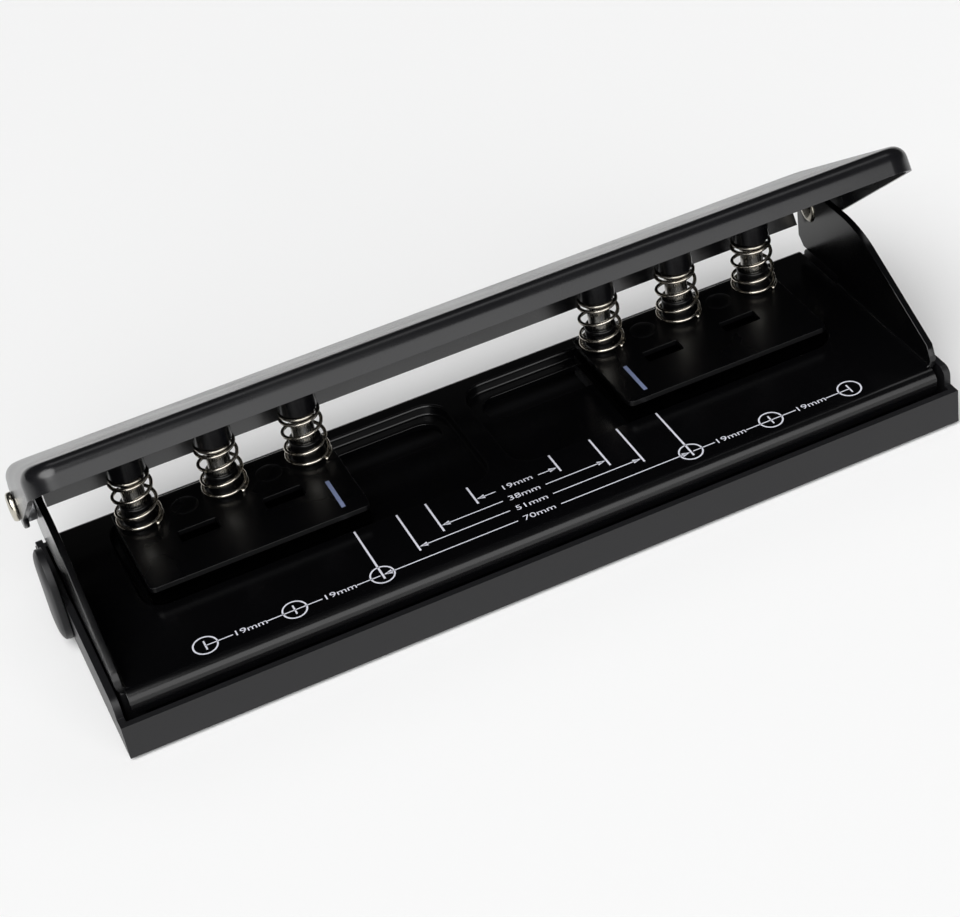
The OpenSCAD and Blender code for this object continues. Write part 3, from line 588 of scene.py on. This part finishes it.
wire, coils, coil_steps, sides = 0.4, 5, 36, 10
low_r, high_r, start = 4.8, 4.0, 30.0
for number, x in enumerate(pin_x, 1):
    spring = bmesh.new()
    rise = spring_top_z - spring_low_z - 2 * wire
    total = coils * coil_steps
    out = Vector((math.sin(math.radians(start)), -math.cos(math.radians(start)), 0))
    first = Vector((x, pin_row_y, spring_low_z + wire)) + low_r * out
    across = Matrix.Rotation(math.radians(start), 4, "Z") @ Matrix.Rotation(math.radians(90), 4, "Y")
    bmesh.ops.create_circle(spring, cap_ends=False, segments=sides, radius=wire,
        matrix=Matrix.Translation(first) @ across)
    bmesh.ops.spin(spring, geom=list(spring.verts) + list(spring.edges), cent=(x, pin_row_y, 0),
        axis=(0, 0, 1), dvec=(0, 0, rise / total), angle=math.radians(360 * coils), steps=total,
        use_merge=False, use_duplicate=False)
    # Close the end turns and taper the coil.
    spring.verts.ensure_lookup_table()
    for place_on in range(total + 1):
        t = place_on / total
        turn = math.radians(start + 360 * coils * t)
        inward = (high_r - low_r) * t
        ring = spring.verts[place_on * sides:(place_on + 1) * sides]
        bmesh.ops.translate(spring, verts=ring, vec=(inward * math.sin(turn), -inward * math.cos(turn),
            -rise * 0.8 * math.sin(2 * math.pi * t) / (2 * math.pi)))
    bmesh.ops.holes_fill(spring, edges=[e for e in spring.edges if e.is_boundary], sides=0)
    bmesh.ops.recalc_face_normals(spring, faces=spring.faces)
    head = "left_head" if x < 0 else "right_head"
    coil = place_piece(f"spring_{number}_coil", spring, nickel_wire, head, "spring_wire",
        f"return_spring_{number}")
    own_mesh(coil)

# ---------- Handle ----------
# A full-width lever pressed from 1.2 mm sheet: a flat top with rolled front and back edges, and
# end flanges with round lugs that hang outside the ears. The enamel is a little more satin.

lever = bmesh.new()
lever_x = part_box("handle")[1].x * 1000
lever_front, lever_back, lever_top, lever_t = -50.0, 6.5, 8.4, 1.2
flange_x = lever_x - lever_t
blank_low = 7
middle = Matrix.Translation((0, (lever_front + lever_back) / 2, (lever_top - blank_low) / 2))
bmesh.ops.create_cube(lever, size=1.0,
    matrix=middle @ Matrix.Diagonal((2 * lever_x, lever_back - lever_front, lever_top + blank_low, 1)))
upright = [e for e in lever.edges if abs(e.verts[0].co.z - e.verts[1].co.z) > 1]
bmesh.ops.bevel(lever, geom=upright, offset=6.5, offset_type="OFFSET", affect="EDGES", segments=9,
    profile=0.5, material=-1)
bmesh.ops.delete(lever, geom=[f for f in lever.faces if f.normal.z < -0.9], context="FACES_ONLY")
crown = [e for e in lever.edges if all(v.co.z > lever_top - 0.01 for v in e.verts)]
bmesh.ops.bevel(lever, geom=crown, offset=3.05, offset_type="OFFSET", affect="EDGES", segments=7,
    profile=0.5, material=-1)
trim(lever, list(lever.faces), (0, lever_front, 2.8), (0, -5.92, -45.84))
trim(lever, list(lever.faces), (0, 0, -2.9), (0, 0, -1))
# Notches in the back wall let the ears and washers through.
notch_x, notch_z = 89.8, 4.4
for x in (-flange_x, -notch_x, notch_x, flange_x):
    score(lever, (x, 0, 0), (1, 0, 0))
score(lever, (0, 0, notch_z), (0, 0, 1))
notches = [f for f in lever.faces if notch_x < abs(f.calc_center_median().x) < flange_x
    and f.calc_center_median().y > 0 and f.calc_center_median().z < notch_z]
bmesh.ops.delete(lever, geom=notches, context="FACES")
raise_handle = Matrix.Translation((0, hinge_y, hinge_z)) @ Matrix.Rotation(math.radians(-33), 4, "X")
bmesh.ops.transform(lever, matrix=raise_handle, verts=lever.verts)
handle_enamel = stoved_enamel("satin_black_handle_enamel", "#101012", 0.26, 0.35)
place_piece("handle_sheet", lever, handle_enamel, "press_handle", "handle_steel", "handle",
    wall=lever_t, edge=0.2)
lugs = bmesh.new()
for side in (-1, 1):
    inner, outer = flange_x + 0.02, lever_x - 0.02
    lug_outline = [(2.06, inner), (5.0, inner), (5.18, inner + 0.2), (5.18, outer - 0.2), (5.0, outer),
        (2.06, outer)]
    turned(lugs, [(r, h * side) for r, h in lug_outline], (0, 0, 0), axis="X")
bmesh.ops.transform(lugs, matrix=raise_handle, verts=lugs.verts)
bmesh.ops.recalc_face_normals(lugs, faces=lugs.faces)
place_piece("handle_lugs", lugs, handle_enamel, "press_handle", "handle_steel")

# ---------- Hinge rivets and washers ----------
# Semi-tubular rivets in nickel-plated steel: a low round head inside each ear and a rolled
# hollow tail outside the handle. A plain zinc-plated washer keeps ear and handle apart.

nickel_rivet = ground_steel("nickel_plated_rivet", "#c4bfb2", 0.2, (0.3, 1.0, 1.0))
for side, name in ((-1, "left"), (1, "right")):
    rivet = bmesh.new()
    tail = lever_x + 0.06
    turned(rivet, [(0, 90.32), (1.4, 90.36), (2.4, 90.5), (2.95, 90.68), (3.2, 90.98), (2.0, 90.99),
        (2.0, tail), (3.05, tail + 0.02), (3.2, tail + 0.35), (3.15, tail + 0.9), (2.85, tail + 1.3),
        (2.3, tail + 1.43), (1.8, tail + 1.35), (1.35, tail + 1.0), (1.2, tail + 0.5), (1.2, tail - 0.8),
        (0, tail - 1.2)], (0, 0, 0), axis="X")
    if side < 0:
        bmesh.ops.scale(rivet, vec=(-1, 1, 1), verts=rivet.verts)
    bmesh.ops.translate(rivet, vec=(0, hinge_y, hinge_z), verts=rivet.verts)
    bmesh.ops.recalc_face_normals(rivet, faces=rivet.faces)
    place_piece(name + "_rivet", rivet, nickel_rivet, "base", "nickel", "hinge_rivet_" + name)
    washer = bmesh.new()
    near, far = 92.6, flange_x - 0.06
    turned(washer, [(2.02, near), (3.95, near), (4.1, near + 0.15), (4.1, far - 0.15), (3.95, far),
        (2.02, far), (2.02, near)], (0, 0, 0), axis="X")
    if side < 0:
        bmesh.ops.scale(washer, vec=(-1, 1, 1), verts=washer.verts)
    bmesh.ops.translate(washer, vec=(0, hinge_y, hinge_z), verts=washer.verts)
    bmesh.ops.recalc_face_normals(washer, faces=washer.faces)
    place_piece(name + "_washer", washer, zinc_steel, "base", "steel", "hinge_washer_" + name)

# ---------- Paper guide ----------
# A flat rail that slides under the tray's hooks, with an upright stop at its outer end. Both are
# moulded in the tray's ABS, and the stop's face is domed for a finger.

rail = bmesh.new()
moulded_block(rail, (-95.5, 6.5, 2.6), (21.7, 12.5, 4.4), 0.3)
place_piece("guide_rail_bar", rail, satin_abs, "paper_guide", "tray", "guide_rail")
stop = bmesh.new()
bmesh.ops.create_cube(stop, size=1.0,
    matrix=Matrix.Translation((-95.25, guide_y, 13.0)) @ Matrix.Diagonal((1.5, 12.0, 21.6, 1)))
ends = [e for e in stop.edges if abs(e.verts[0].co.x - e.verts[1].co.x) > 1]
bmesh.ops.bevel(stop, geom=ends, offset=5.98, offset_type="OFFSET", affect="EDGES", segments=16,
    profile=0.5, material=-1)
bmesh.ops.remove_doubles(stop, verts=stop.verts, dist=0.05)
for step, swell in ((0.55, 0.4), (0.5, 0.22), (0.6, 0.15), (0.8, 0.12), (1.0, 0.07), (1.2, 0.03)):
    face = min(stop.faces, key=lambda f: (round(f.calc_center_median().x, 4), -f.calc_area()))
    bmesh.ops.inset_region(stop, faces=[face], thickness=step, depth=0, use_boundary=True,
        use_even_offset=True)
    bmesh.ops.translate(stop, vec=(-swell, 0, 0), verts=face.verts)
bmesh.ops.recalc_face_normals(stop, faces=stop.faces)
place_piece("guide_stop_pad", stop, satin_abs, "paper_guide", "tray", "guide_end_stop", edge=0.15)

# ---------- Floor, light and camera ----------
# A plain pale floor, with a broad panel in front that lights the handle's front and the lip, a
# small one high behind that puts fine lines on the edges, and a soft key light from the front left.

floor = bmesh.new()
bmesh.ops.create_grid(floor, x_segments=1, y_segments=1, size=4.0)
floor_mesh = bpy.data.meshes.new("floor")
floor.to_mesh(floor_mesh)
floor.free()
floor_piece = bpy.data.objects.new("floor", floor_mesh)
bpy.context.scene.collection.objects.link(floor_piece)
# Matt studio paper, just off white, with no pattern of its own.
paper = finish_named("pale_studio_paper", "#f1f1f1", 0.9)[0]
floor_mesh.materials.append(paper)


def soft_light(name, centre, target, size, power):
    """A large soft panel that faces a point on the punch."""
    lamp = bpy.data.lights.new(name, "AREA")
    lamp.shape, lamp.size, lamp.size_y, lamp.energy = "RECTANGLE", size[0], size[1], power
    holder = bpy.data.objects.new(name, lamp)
    holder.location = centre
    holder.rotation_mode = "QUATERNION"
    holder.rotation_quaternion = (Vector(target) - Vector(centre)).to_track_quat("-Z", "Y")
    bpy.context.scene.collection.objects.link(holder)


soft_light("front_panel", (-0.2, -3.0, 1.5), (0, 0, 0.6), (4.4, 2.9), 82)
soft_light("rear_panel", (0.35, 0.65, 1.55), (0, 0, 0), (1.6, 0.4), 2.2)
key = bpy.data.lights.new("key_light", "SUN")
key.energy, key.angle = 2.95, math.radians(50)
key_holder = bpy.data.objects.new("key_light", key)
key_holder.rotation_mode = "QUATERNION"
key_holder.rotation_quaternion = Vector((0.42, 0.38, -0.82)).to_track_quat("-Z", "Y")
bpy.context.scene.collection.objects.link(key_holder)
world = bpy.data.worlds.new("studio")
world.use_nodes = True
world.node_tree.nodes["Background"].inputs["Color"].default_value = (1, 1, 1, 1)
world.node_tree.nodes["Background"].inputs["Strength"].default_value = 0.025
bpy.context.scene.world = world
bpy.context.scene.view_settings.view_transform = "Standard"

lens = bpy.data.cameras.new("camera")
lens.sensor_width, lens.lens = 36.0, 85.5
camera = bpy.data.objects.new("camera", lens)
right = Vector((0.90416, -0.40360, -0.13998))
up = Vector((0.35253, 0.51990, 0.77809))
back = Vector((-0.24126, -0.75287, 0.61236))
turn_to_view = Matrix((right, up, back)).transposed().to_4x4()
camera.matrix_world = Matrix.Translation((-0.11927, -0.36289, 0.30825)) @ turn_to_view
lens.clip_start, lens.clip_end = 0.01, 20.0
bpy.context.scene.collection.objects.link(camera)
bpy.context.scene.camera = camera
